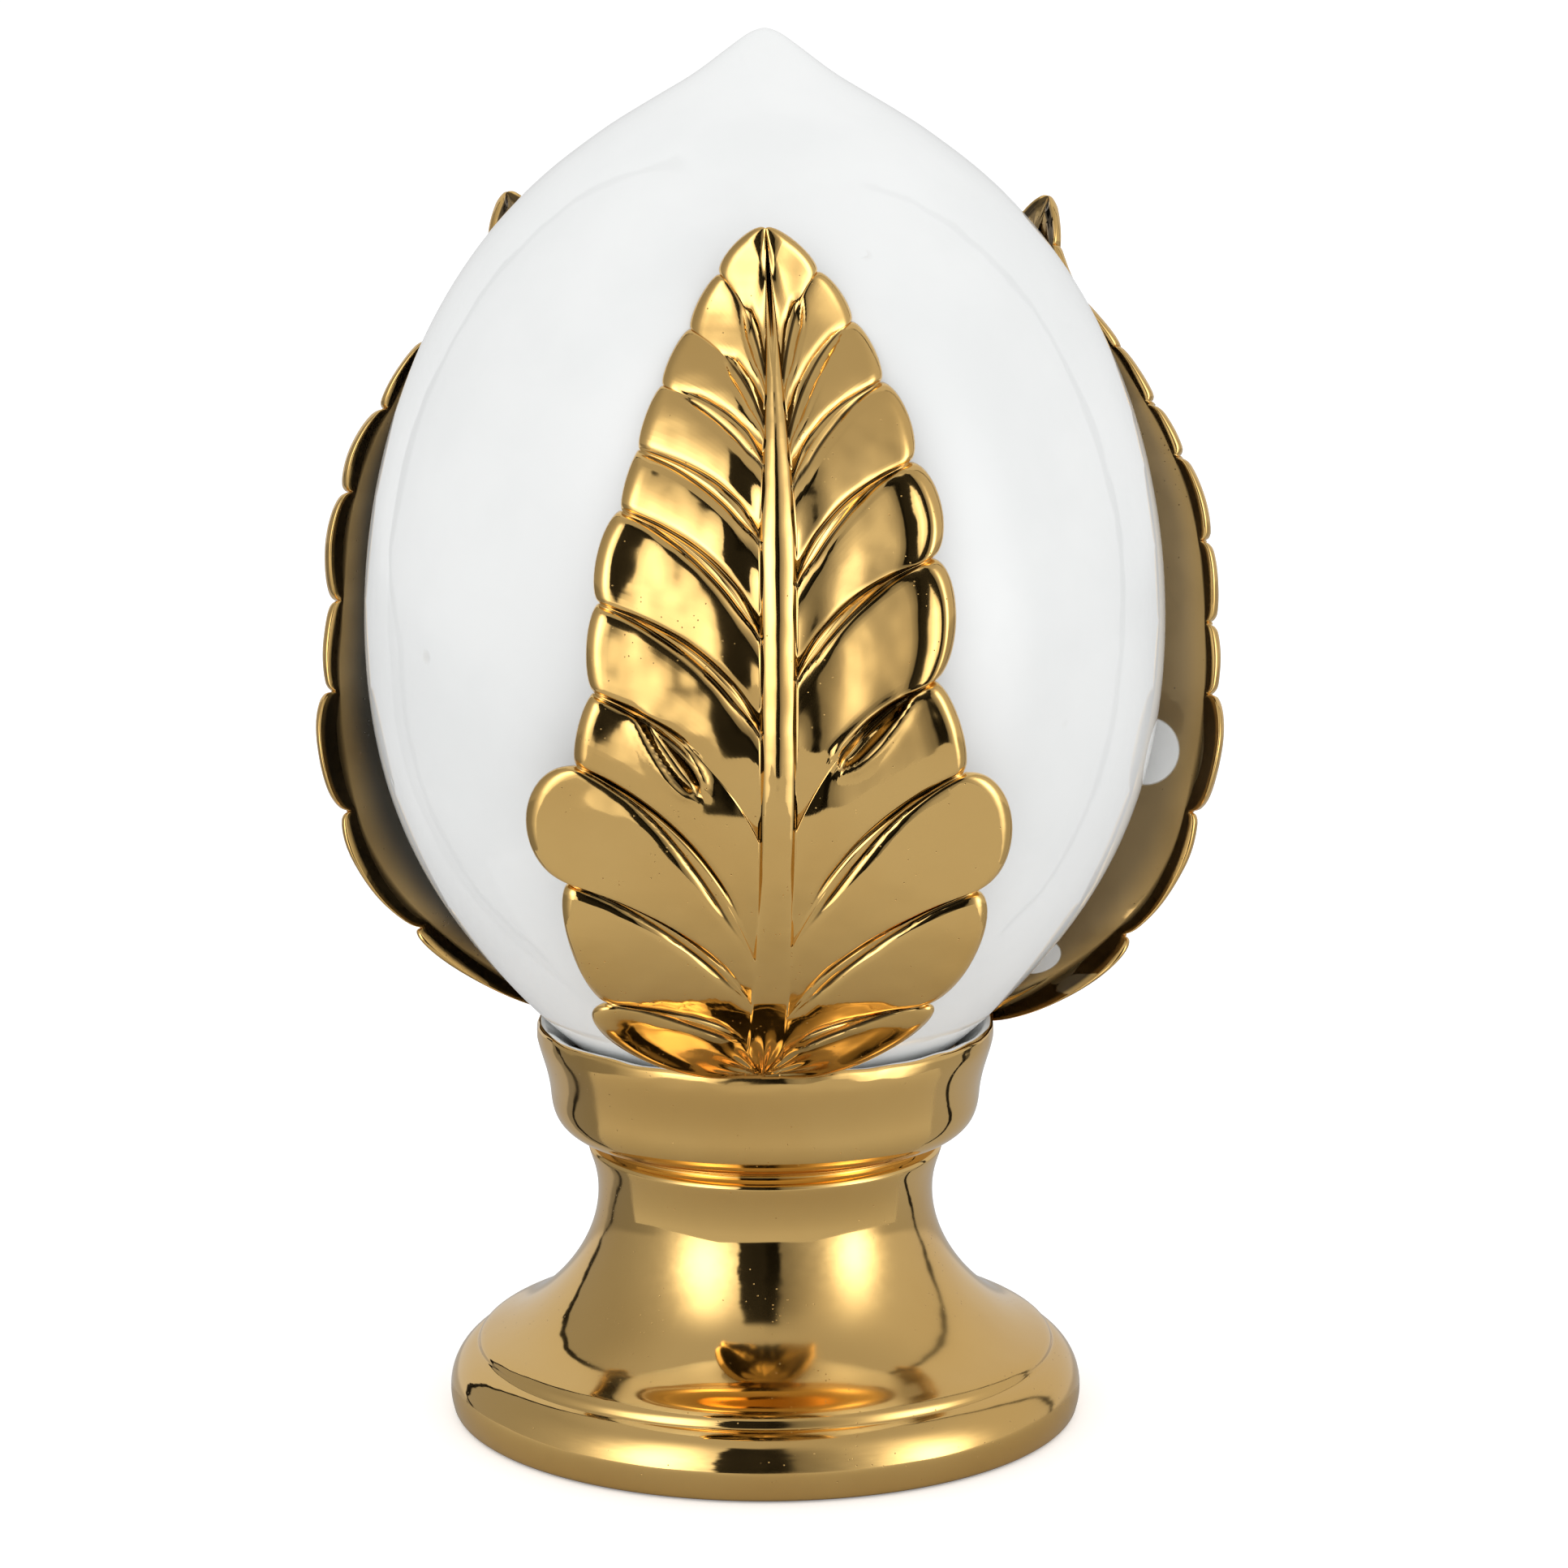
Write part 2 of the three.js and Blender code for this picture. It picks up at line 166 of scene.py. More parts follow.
def footOutline():
    # in each curve the two corners in the middle are its handles
    s = foot
    bevel = s["bevel"] * 1.1
    rollCentre = s["rollRadius"] - s["rollBulge"]
    rollRise = s["rollHeight"] - s["rollUndercut"] + 0.3
    rollStart = math.asin((s["bevel"] - s["rollUndercut"]) / rollRise)
    rollEnd = math.asin((s["rollHeight"] - s["rollUndercut"]) / rollRise)
    standRadius = rollCentre + s["rollBulge"] * math.cos(rollStart)
    base = [Vector((0, 0)), Vector((standRadius - s["bevel"] * 2, 0))]
    base += arcPoints((standRadius - bevel, bevel), (bevel, bevel), -math.pi / 2, -0.1, 6)
    roll = arcPoints((rollCentre, s["rollUndercut"]), (s["rollBulge"], rollRise),
                     rollStart, rollEnd * 0.98, 28)

    bellEdge, rim, bellBase = s["bellRadius"], s["bellRim"], s["rollHeight"]
    rimTop = (bellEdge - rim * 1.44, bellBase + rim)
    shoulder = bezierPoints(((bellEdge, bellBase + 0.4), (bellEdge, bellBase + rim * 0.45),
                             (bellEdge - rim * 0.73, bellBase + rim * 0.55), rimTop), 18)
    waist = (s["waistRadius"], waistLevel)
    flare = bezierPoints((rimTop, (bellEdge - rim * 2.4, bellBase + rim * 1.59),
                          (s["waistRadius"], waistLevel - s["bellHeight"] * 0.4), waist), 34)
    collar = (s["collarRadius"], collarLevel - 0.3)
    neck = bezierPoints((waist, (s["waistRadius"], waistLevel + s["collarHeight"] * 0.5),
                         (s["collarRadius"] - 0.4, collarLevel - 2), collar), 14)

    coveRadius = s["collarRadius"] - s["coveDepth"]
    heelStart = (coveRadius + 0.6, cupBase)
    coveCorners = (collar, (s["collarRadius"] - 0.4, collarLevel + 0.4),
                   (coveRadius + 0.4, collarLevel + 0.9), (coveRadius, collarLevel + 1.4), heelStart)
    cove = throughPoints([Vector(corner) for corner in coveCorners], 4)
    cupStart = (s["cupRadius"], cupBase + s["cupHeel"] * 1.4)
    heel = bezierPoints((heelStart, (s["cupRadius"] - 1.6, cupBase + 1),
                         (s["cupRadius"] - 0.4, cupBase + s["cupHeel"] * 0.7), cupStart), 20)
    wall = bezierPoints((cupStart, (s["cupRadius"] + 0.4, cupBase + s["cupHeight"] * 0.62),
                         (s["lipRadius"], lipLevel - s["lipRound"] * 5),
                         (s["lipRadius"], lipLevel - s["lipRound"] * 1.6)), 18)
    lip = arcPoints((s["lipRadius"] - s["lipRound"], lipLevel - s["lipRound"]),
                    (s["lipRound"], s["lipRound"]), 0.1, math.pi * 0.7, 10)
    # inside the lip the foot follows just under the bud
    seat = [point + Vector((0.2, -0.25)) for point in budLine
            if 4 < point.x and point.y < lipLevel - s["troughDepth"]]
    line = base + roll + shoulder + flare + neck + cove + heel + wall + lip + seat[::-1]
    line.append(Vector((0, budBase - bud["seatGap"])))
    return withoutRepeats(line)


def waverLip(mesh):
    # the lip was finished by hand, so it rises, falls and widens a little
    for vert in mesh.vertices:
        radius = math.hypot(vert.co.x, vert.co.y)
        share = ramp(vert.co.z / mm, lipLevel - 4, lipLevel - 1)
        share *= ramp(radius / mm, seatRadius, seatRadius + 1)
        spot = vert.co / mm / foot["waverLength"]
        widen = 1 + foot["lipWiden"] * share * (noise.noise(spot * 2) - 0.4)
        vert.co.z += foot["lipWaver"] * share * (noise.noise(spot) - 0.45) * mm
        vert.co.x *= widen
        vert.co.y *= widen


def newPiece(name, mesh, material):
    piece = bpy.data.objects.new(name, mesh)
    bpy.context.scene.collection.objects.link(piece)
    mesh.materials.append(material)
    return piece


def finishMesh(bm, name):
    bmesh.ops.remove_doubles(bm, verts=bm.verts, dist=weld)
    bmesh.ops.recalc_face_normals(bm, faces=bm.faces)
    for face in bm.faces:
        face.smooth = True
    mesh = bpy.data.meshes.new(name)
    bm.to_mesh(mesh)
    bm.free()
    return mesh


def turnedMesh(name, outline, turns):
    bm = bmesh.new()
    verts = [bm.verts.new((point.x * mm, 0, point.y * mm)) for point in outline]
    edges = [bm.edges.new(pair) for pair in zip(verts, verts[1:])]
    bmesh.ops.spin(bm, geom=verts + edges, cent=(0, 0, 0), axis=(0, 0, 1), dvec=(0, 0, 0),
                   angle=math.tau, steps=turns, use_merge=True, use_duplicate=False)
    return finishMesh(bm, name)


# The moulded leaf. Its left half is side -1 and its right half side 1. Places named up, across or
# share are shares of the height or the half width.
leaf = {
    "height": 148.8, "halfWidth": 33.5, "heelDrop": 0.9, "coreDrop": 8, "budGap": 0.15,
    # the face: its roundness, its fall to the sides like a roof, and a slight waver
    "crossRadius": 250, "tipRadius": 60, "roof": 0.15, "tipRoof": 0.33, "waver": 0.16, "waverLength": 6.5,
    # the midrib's lean to one side, above and below these places
    "tipLean": 18, "tipLeanFrom": 0.72, "footLean": 8.6, "footLeanFrom": 0.45,
    # how far the face stands off the bud, from the foot to the tip
    "standOff": ((0, 3.4), (0.03, 4.9), (0.07, 5.9), (0.12, 6.8), (0.25, 9.0), (0.4, 9.5), (0.55, 9.6),
                 (0.66, 8.9), (0.76, 6.3), (0.84, 4.1), (0.9, 3.6), (0.95, 7), (1, 13)),
    # the midrib in its trough, with the slit near the tip
    "ribWidth": 3.1, "ribHeight": 0.85, "ribTaper": 48, "ribGroove": 0.45, "tipSlit": 1.6, "slitWidth": 0.4,
    "trough": 0.9, "troughWidth": 3.4,
    # the veins, from the tip down only creases at first, and the puffed lobes between them
    "veinWidth": 1.0, "veinHeight": 0.75, "veinRaise": (-0.1, -0.1, 0.25, 1.0), "creaseWidth": 0.3,
    "bendAcross": 0.7, "bendUp": 0.27, "puff": 1.35, "flank": 1.5,
    # the rim: its rounded edge, and a bead and a dish at these distances from it
    "edgeRound": 1.6, "smallLobe": 8, "rimHeight": 0.9, "beadPlace": 1.9, "beadWidth": 1.3,
    "dishPlace": 7, "dishOuter": 3.2, "dishInner": 15,
    # the wall behind the rim, and how much it flares on its way back
    "rimDepth": 1.5, "wallInset": 1.3, "wallFlare": {-1: 0.35, 1: -0.3}, "wallSteps": 16, "wallRounds": 60,
    # painted shade darkens the gold up to here, where the leaf runs in over the cup
    "shadeAtFoot": 0.52, "shadeAtFootUntil": 0.07, "shadeAtFootGone": 0.11,
    # rows to a lobe, and more for one that swells
    "rows": 25, "rowsForSwell": 40, "backColumns": 16,
    # each leaf's turn round the axis, and how much lower it sits
    "places": {"leaf_front": (1.8, 0), "leaf_right": (115.5, 2), "leaf_left": (-121.5, 2)},
}
eye = {
    "length": 15.2, "width": 3.2, "depth": 1.35,
    "rim": 0.7, "rimPlace": 1.1, "rimWidth": 0.9, "lineWidth": 0.45,
    "places": {-1: {"across": 0.534, "up": 0.4325, "tilt": 37, "vein": 6},
               1: {"across": 0.469, "up": 0.458, "tilt": 46, "vein": 5}},
}
stems = {"reach": 5.0, "spread": 4.5, "height": 0.45, "count": 15}

# The lobes of each half from the tip down: the notch below the lobe, where the vein below it leaves
# the midrib, how far the lobe swells out, how its end leans up, how strong its raised rim is, and
# where along its length the vein ends.
lobeSizes = ("across", "up", "veinFoot", "swell", "lean", "rim", "veinEnd")
leftLobes = (
    (0.236, 0.947, 0.843, 0.055, 0, 0, 0.5), (0.394, 0.887, 0.792, 0.035, 0, 0, 0.6),
    (0.543, 0.829, 0.752, 0.035, 0, 0, 0.85), (0.666, 0.762, 0.673, 0.035, 0, 0, 1),
    (0.755, 0.698, 0.569, 0.03, 0, 0.1, 1), (0.863, 0.598, 0.462, 0.076, 0, 0.48, 1),
    (0.896, 0.499, 0.336, 0.06, 0.1, 0.25, 1), (0.985, 0.415, 0.186, 0.045, 0, 0.35, 1),
    (1.012, 0.276, 0.122, 0.245, 0.08, 0.3, 1), (0.812, 0.121, 0.06, 0.1, 0.12, 0.3, 1),
    (0.2, 0, 0, 0.18, 0.4, 1.0, 1),
)
rightLobes = (
    (0.242, 0.949, 0.839, 0.05, 0, 0, 0.6), (0.397, 0.894, 0.779, 0.045, 0, 0, 0.9),
    (0.525, 0.831, 0.732, 0.05, 0, 0.1, 1), (0.651, 0.748, 0.628, 0.08, 0, 0.2, 1),
    (0.746, 0.646, 0.523, 0.115, 0, 1.5, 1), (0.755, 0.511, 0.35, 0.128, 0.1, 1.6, 1),
    (0.919, 0.405, 0.204, 0.07, 0.1, 0.8, 1), (1.0, 0.264, 0.101, 0.22, 0.08, 0.3, 1),
    (0.782, 0.116, 0.045, 0.135, 0.12, 0.4, 1), (0.26, 0, 0, 0.12, 0.4, 0.7, 1),
)
lobesOn = {
    -1: [dict(zip(lobeSizes, sizes)) for sizes in leftLobes],
    1: [dict(zip(lobeSizes, sizes)) for sizes in rightLobes],
}
leafTip = {"across": 0, "up": 1, "veinFoot": 1}
leafBase = lipLevel - leaf["heelDrop"]
standOffLine = [tuple(point) for point in throughPoints([Vector(pair) for pair in leaf["standOff"]], 12)]


def spineShift(up):
    # how far the leaf's middle line stands aside at this height
    nearTip = max(up - leaf["tipLeanFrom"], 0)
    nearFoot = max(leaf["footLeanFrom"] - up, 0)
    return -leaf["tipLean"] * nearTip**2 - leaf["footLean"] * nearFoot**2


def faceDistance(across, up):
    # from the axis to the plain face, before it is carved
    height = leafBase + leaf["height"] * up
    crossRadius = lerp(leaf["crossRadius"], leaf["tipRadius"], ramp(up, 0.66, 1))
    slope = lerp(leaf["roof"] * ramp(up, 0.1, 0.35), leaf["tipRoof"], ramp(up, 0.82, 0.95))
    fall = across**2 / (2 * crossRadius)
    roof = slope * max(across - 0.3, 0)
    waver = leaf["waver"] * noise.noise(Vector((across, height, 3)) / leaf["waverLength"])
    return valueAt(budRadii, height) + valueAt(standOffLine, up) - fall - roof + waver


def lobeAbove(side, index):
    return lobesOn[side][index - 1] if index else leafTip


def notch(lobe):
    return Vector((lobe["across"] * leaf["halfWidth"], lobe["up"] * leaf["height"]))


def outlinePoint(side, index, phase):
    # phase runs from 0 at the notch above the lobe to 1 at the notch below
    lobe = lobesOn[side][index]
    begin = notch(lobeAbove(side, index))
    end = notch(lobe)
    chord = end - begin
    normal = Vector((-chord.y, chord.x)).normalized()
    swell = normal * (lobe["swell"] * leaf["halfWidth"]) - chord * (lobe["lean"] / 2)
    return (begin + end) / 2 - chord * (math.cos(math.pi * phase) / 2) + swell * math.sin(math.pi * phase)


def ribTaper(height):
    # the midrib narrows to nothing at the tip
    return min(1, (leaf["height"] - height) / leaf["ribTaper"])


def veinLine(side, index, phase):
    # a curve from the midrib out to one place of the outline, as its three corners
    up = lerp(lobeAbove(side, index)["veinFoot"], lobesOn[side][index]["veinFoot"], phase)
    height = up * leaf["height"]
    rib = leaf["ribWidth"] * ribTaper(height)
    end = outlinePoint(side, index, phase)
    bend = Vector((lerp(end.x, rib, leaf["bendAcross"]), lerp(end.y, height, leaf["bendUp"])))
    return Vector((rib, height)), bend, end


def alongLine(line, t):
    start, bend, end = line
    return start * (1 - t) ** 2 + bend * (2 * t * (1 - t)) + end * t * t


def slopeAlong(line, t):
    start, bend, end = line
    slope = (bend - start) * (1 - t) + (end - bend) * t
    return slope.normalized() if slope.length > 0.0001 else Vector((1, 0))


def veinStrength(side, number, t):
    # how strong a vein is, t of the way out; the one that runs into the eye is smooth up to there
    if number >= len(lobesOn[side]) - 1:
        return 0.0
    lobe = lobesOn[side][number]
    strength = 1.0
    if lobe["veinEnd"] < 1:
        strength = 1 - ramp(t, lobe["veinEnd"] - 0.15, lobe["veinEnd"] + 0.1)
    if number == eye["places"][side]["vein"]:
        strength *= ramp(t, 0.42, 0.6)
    if lobe["veinFoot"] < 0.25:
        strength *= ramp(t, 0.02, 0.3)
    return strength


def eyeLift(side, point):
    # the eye's hollow and rim, and how much painted shade darkens the line round it
    spot = eye["places"][side]
    turn = math.radians(spot["tilt"])
    offset = point - notch(spot)
    along = offset.x * math.sin(turn) + offset.y * math.cos(turn)
    across = abs(offset.x * math.cos(turn) - offset.y * math.sin(turn))
    reach = along / (eye["length"] / 2)
    if abs(reach) > 1.5:
        return 0.0, 0.0
    half = eye["width"] / 2 * math.sqrt(max(1 - reach**2, 0)) * (1 - 0.4 * reach)
    hollow = -eye["depth"] * (1 - ramp(across, half * 0.1, half + 0.4)) * ramp(half, 0, 0.9)
    rim = eye["rim"] * bell(across - half - eye["rimPlace"], eye["rimWidth"])
    rim *= 1 - ramp(abs(reach), 0.9, 1.3)
    # painted shade along the eye's edge
    line = bell(across - half, eye["lineWidth"]) * (1 - ramp(abs(reach), 1.0, 1.1))
    return hollow + rim * (1 - 0.5 * ramp(reach, -0.4, 0.8)), line


def stemLift(side, point):
    # small stems that fan out at the leaf's foot
    away = math.hypot(point.x, point.y - 1)
    angle = math.atan2(side * point.x, max(point.y - 1, 0.01))
    strength = bell(away - stems["reach"], stems["spread"])
    return stems["height"] * strength * math.cos(angle * stems["count"] + 0.6)


def ribLift(up, step, taper):
    # one gentle arch between two grooves, opened by a slit near the tip; step is 0 in the middle
    arch = leaf["ribHeight"] * (1 - step * step) * (1 - ramp(up, 0.9, 0.97))
    groove = leaf["ribGroove"] * ramp(step, 0.8, 1)
    trough = leaf["trough"] * (1 - 0.6 * ramp(up, 0.86, 1))
    across = step * leaf["ribWidth"] * taper
    slit = leaf["tipSlit"] * ramp(up, 0.84, 0.93) * bell(across, leaf["slitWidth"])
    return (arch - groove - trough) * ramp(up, 0.1, 0.3) + leaf["puff"] * 0.6 - slit


def lobeLift(side, index, phase, t, reach):
    # a point of a lobe, its carving's height over the plain face, and how much painted shade darkens its
    # groove
    line = veinLine(side, index, phase)
    upper = veinLine(side, index, 0)
    lower = veinLine(side, index, 1)
    point = alongLine(line, t)
    above = alongLine(upper, t)
    below = alongLine(lower, t)
    gap = below - above
    slant = 1.0
    if gap.length > 0.01:
        slant = max(abs(slopeAlong(line, t).cross(gap.normalized())), 0.15)
    width = gap.length * slant
    half = leaf["veinWidth"] * lerp(0.3, 1, ramp(t, 0, 0.25)) * lerp(1, 0.5, ramp(t, 0.4, 0.95))
    flank = min(leaf["flank"], max(width * 0.45, 0.4))
    veins = [((point - below).length * slant, index)]
    if index:
        veins.append(((point - above).length * slant, index - 1))
    lift = 0.0
    groove = 0.0
    puff = leaf["puff"] * lerp(0.6, 1, ramp(t, 0, 0.4)) * (0.5 + 0.5 * math.sin(math.pi * phase))
    for distance, number in veins:
        strength = veinStrength(side, number, t)
        crest = max(1 - (distance / half) ** 2, 0) ** 0.8
        raised = leaf["veinRaise"][min(number, len(leaf["veinRaise"]) - 1)]
        lift += leaf["veinHeight"] * strength * crest * (1 - 0.5 * ramp(t, 0.85, 1)) * raised
        # a raised vein gets a line of painted shade at each side, a crease gets one in its middle
        linePlace = half if raised > 0 else 0.0
        # painted shade along the vein or crease
        creaseShade = bell(distance - linePlace, leaf["creaseWidth"]) * strength * (1 - ramp(t, 0.9, 1))
        groove = max(groove, creaseShade * (0.5 + 0.5 * ramp(width, 0.5, 2)))
        upFlank = min(max(distance - half * strength - 0.12, 0) / flank, 1)
        puff *= lerp(1, math.sqrt(max(1 - (1 - upFlank) ** 2, 0)), strength)
    lift += puff
    # the trough beside the midrib, deeper towards the lobe's lower vein
    start = upper[0].lerp(lower[0], phase)
    up = start.y / leaf["height"]
    trough = leaf["trough"] * (0.1 + 1.3 * ramp(phase, 0.25, 0.95))
    trough *= ramp(up, 0.06, 0.3) * (1 - 0.6 * ramp(up, 0.86, 1))
    lift -= trough * bell(max(point.x - start.x, 0), leaf["troughWidth"])
    # the bead along the rim and the dish inside it
    fromEdge = (1 - t) * reach
    rim = lobesOn[side][index]["rim"] * leaf["rimHeight"] * math.sin(math.pi * phase) ** 0.5
    lift += rim * 0.5 * bell(fromEdge - leaf["beadPlace"], leaf["beadWidth"])
    dishWidth = leaf["dishOuter"] if fromEdge < leaf["dishPlace"] else leaf["dishInner"]
    lift -= rim * bell(fromEdge - leaf["dishPlace"], dishWidth) * ramp(t, 0.1, 0.6)
    eyeHeight, eyeShade = eyeLift(side, point)
    return point, lift + eyeHeight + stemLift(side, point), max(groove, eyeShade)


def wallLine(side):
    # from notch to notch without the lobes' swelling, the corners smoothed
    points = [notch(leafTip)]
    for lobe in lobesOn[side]:
        begin, end = points[-1], notch(lobe)
        points += [begin.lerp(end, i / leaf["wallSteps"]) for i in range(1, leaf["wallSteps"] + 1)]
    return evenOut(points, leaf["wallRounds"])


wallLines = {-1: wallLine(-1), 1: wallLine(1)}


def wallSpot(side, index, phase):
    line = wallLines[side]
    place = (index + phase) * leaf["wallSteps"]
    low = min(int(place), len(line) - 2)
    spot = line[low].lerp(line[low + 1], place - low)
    spot.x = max(spot.x - leaf["wallInset"], min(spot.x, 0.3))
    return spot


# Where the columns of a half stand: shares of the midrib, a number of places over the lobe,
# millimetres from the outline, and shares of the way down under the rim
ribSteps = [0, 0.05, 0.12, 0.22, 0.35, 0.5, 0.65, 0.78, 0.88, 0.95]
innerSteps = 42
edgeSteps = [4.2, 3.3, 2.5, 1.8, 1.3, 0.9, 0.55, 0.28, 0.09, 0]
underSteps = [0.25, 0.5, 0.75, 1]


def onFace(side, point, lift):
    up = point.y / leaf["height"]
    depth = faceDistance(point.x, up) + lift
    return Vector((side * point.x + spineShift(up), -depth, leafBase + point.y))


def halfRow(side, index, phase):
    # one row of a half, from the middle line out over the face and in under the rim, each point
    # with the painted shade of its groove and how much it belongs to the wall
    start, _, end = veinLine(side, index, phase)
    reach = max((end - start).length, 0.01)
    size = min(1, reach / leaf["smallLobe"])  # carving gets lower where a lobe is short
    up = start.y / leaf["height"]
    taper = ribTaper(start.y)
    row = []

    def place(point, lift, groove):
        # painted shade near the leaf's foot, where it runs in over the cup
        footShade = leaf["shadeAtFoot"] * (1 - ramp(point.y / leaf["height"], leaf["shadeAtFootUntil"], leaf["shadeAtFootGone"]))
        row.append((onFace(side, point, lift), max(groove, footShade), 0.0))

    for step in ribSteps:
        spot = Vector((start.x * step, start.y))
        lift = ribLift(up, step, taper) + stemLift(side, spot)
        # painted shade in the grooves beside the midrib and in the slit near the tip
        ribEdgeShade = ramp(step, 0.9, 1) * lerp(0.45 * ramp(up, 0.1, 0.16), 0.8, ramp(up, 0.3, 0.4))
        slitShade = bell(spot.x, leaf["slitWidth"]) * ramp(up, 0.85, 0.92)
        place(spot, lift * size, max(ribEdgeShade, slitShade))

    inner = max(1 - edgeSteps[0] * size / reach, 0.1)
    stations = [inner * (i / innerSteps) ** 1.15 for i in range(innerSteps)]
    stations += [1 - distance * size / reach for distance in edgeSteps]
    for t in stations:
        t = min(max(t, 0), 1)
        point, lift, groove = lobeLift(side, index, phase, t, reach)
        roll = max(0, 1 - (1 - t) * reach / (leaf["edgeRound"] * 1.2 * max(size, 0.05)))
        drop = leaf["edgeRound"] * (1 - math.sqrt(max(1 - roll**2, 0)))
        place(point, (lift - drop) * size, groove)

    # under the rim the wall is set in, on a smoother line than the lobes
    outer = row[-1][0]
    wallPoint = onFace(side, wallSpot(side, index, phase), -leaf["rimDepth"] * size)
    for step in underSteps:
        angle = math.pi / 2 * step
        spot = outer.lerp(wallPoint, 1 - math.cos(angle))
        spot.y = lerp(outer.y, wallPoint.y, math.sin(angle))
        # painted shade darkens the gold under the rim
        row.append((spot, ramp(step, 0.2, 0.6) * (1 - ramp(step, 0.8, 1) * 0.5), step * 0.4))
    return row


def backPoint(point, drop):
    # back from a point of the wall, towards the axis, to just under the bud's face
    up = (point.z - leafBase) / leaf["height"]
    height = point.z - leaf["coreDrop"] * ramp(up, 0.8, 1)
    radius = valueAt(budRadii, height - drop) - leaf["budGap"]
    inward = min(radius / max(math.hypot(point.x, point.y), 0.01), 1)
    flare = leaf["wallFlare"][-1 if point.x < 0 else 1]
    across = point.x * (inward + (1 - inward) * flare)
    depth = math.sqrt(max(radius**2 - across**2, 1))
    return Vector((across, max(-depth, point.y), height))


def lobeAt(side, up):
    # which lobe has its vein's foot at this height, and how far down the lobe that is
    lobes = lobesOn[side]
    for index, lobe in enumerate(lobes):
        if up >= lobe["veinFoot"]:
            top = lobeAbove(side, index)["veinFoot"]
            return index, min(max((top - up) / (top - lobe["veinFoot"]), 0), 1)
    return len(lobes) - 1, 1.0


def rowHeights():
    # every row is cut at the same height on both halves, so both halves' lobes set the rows
    heights = set()
    for side, lobes in lobesOn.items():
        for index, lobe in enumerate(lobes):
            steps = leaf["rows"] + round(lobe["swell"] * leaf["rowsForSwell"])
            for i in range(steps + 1):
                phase = lerp(i / steps, 0.5 - 0.5 * math.cos(math.pi * i / steps), 0.7)
                heights.add(round(lerp(lobeAbove(side, index)["veinFoot"], lobe["veinFoot"], phase), 5))
    return sorted(heights, reverse=True)


def gridSpots(bm, columns, rows):
    # a flat grid's corners, each with its column and row
    verts = bmesh.ops.create_grid(bm, x_segments=columns, y_segments=rows, size=0.5)["verts"]
    return [(vert, round((vert.co.x + 0.5) * columns), round((0.5 - vert.co.y) * rows)) for vert in verts]


def leafMesh(name, rows, turn, drop):
    # a front grid and a back grid are laid on the rows, joined at the sides and closed
    columns = len(rows[0]) - 1
    bm = bmesh.new()
    # the groove layer carries painted shade; the wall layer says how much of a point is wall, where painted
    # shade greys the gold
    groove = bm.verts.layers.float.new("groove")
    wall = bm.verts.layers.float.new("wall")
    for vert, column, row in gridSpots(bm, columns, len(rows) - 1):
        point, vert[groove], vert[wall] = rows[row][column]
        if column in (0, columns):
            point = backPoint(point, drop)
            vert[groove], vert[wall] = 0.0, 1.0
        vert.co = point * mm
    for vert, column, row in gridSpots(bm, leaf["backColumns"], len(rows) - 1):
        across = rows[row][0][0].lerp(rows[row][-1][0], column / leaf["backColumns"])
        vert.co = backPoint(across, drop) * mm
        vert[wall] = 1.0
    bmesh.ops.remove_doubles(bm, verts=bm.verts, dist=weld)
    bmesh.ops.holes_fill(bm, edges=[edge for edge in bm.edges if edge.is_boundary], sides=0)
    bmesh.ops.translate(bm, verts=bm.verts, vec=(0, 0, -drop * mm))
    bmesh.ops.rotate(bm, verts=bm.verts, cent=(0, 0, 0), matrix=Matrix.Rotation(math.radians(turn), 3, "Z"))
    return finishMesh(bm, name)


# Shader helpers
def addNode(tree, kind, links=None, **settings):
    node = tree.nodes.new(kind)
    for name, value in settings.items():
        setattr(node, name, value)
    for key, value in (links or {}).items():
        socket = node.inputs[key]
        if isinstance(value, bpy.types.NodeSocket):
            tree.links.new(value, socket)
        else:
            socket.default_value = value
    return node


def calc(tree, operation, first, second=0.0):
    return addNode(tree, "ShaderNodeMath", {0: first, 1: second}, operation=operation).outputs[0]


def plus(tree, first, second):
    return calc(tree, "ADD", first, second)


def minus(tree, first, second):
    return calc(tree, "SUBTRACT", first, second)


def times(tree, first, second):
    return calc(tree, "MULTIPLY", first, second)


def blend(tree, share, first, second):
    # from the first value at share 0 to the second at share 1
    return plus(tree, times(tree, first, minus(tree, 1.0, share)), times(tree, share, second))


def fade(tree, value, low, high, toLow=0.0, toHigh=1.0):
    ends = {"Value": value, "From Min": low, "From Max": high, "To Min": toLow, "To Max": toHigh}
    return addNode(tree, "ShaderNodeMapRange", ends, interpolation_type="SMOOTHSTEP").outputs[0]


def between(tree, value, low, high, lowSoft, highSoft):
    # 1 from low to high, fading out over the soft widths
    return times(tree, fade(tree, value, low - lowSoft, low + lowSoft),
                 fade(tree, value, high + highSoft, high - highSoft))


def mixColor(tree, factor, first, second):
    return addNode(tree, "ShaderNodeMix", {0: factor, 6: first, 7: second}, data_type="RGBA").outputs[2]


def softNoise(tree, vector, scale, detail):
    inputs = {"Vector": vector, "Scale": scale, "Detail": detail}
    return addNode(tree, "ShaderNodeTexNoise", inputs).outputs[0]


def fromAxis(tree, parts):
    squares = plus(tree, times(tree, parts.outputs[0], parts.outputs[0]),
                   times(tree, parts.outputs[1], parts.outputs[1]))
    return calc(tree, "SQRT", squares)


# What both finishes share; scales are to the metre
kiln = {
    "patchScale": 55.0, "patchFade": (0.5, 0.68), "pitsElsewhere": 0.08,
    "pitEdge": (0.22, 0.08), "pitDepth": 0.25, "cloudScale": 28.0, "cloudFade": (0.35, 0.68),
}


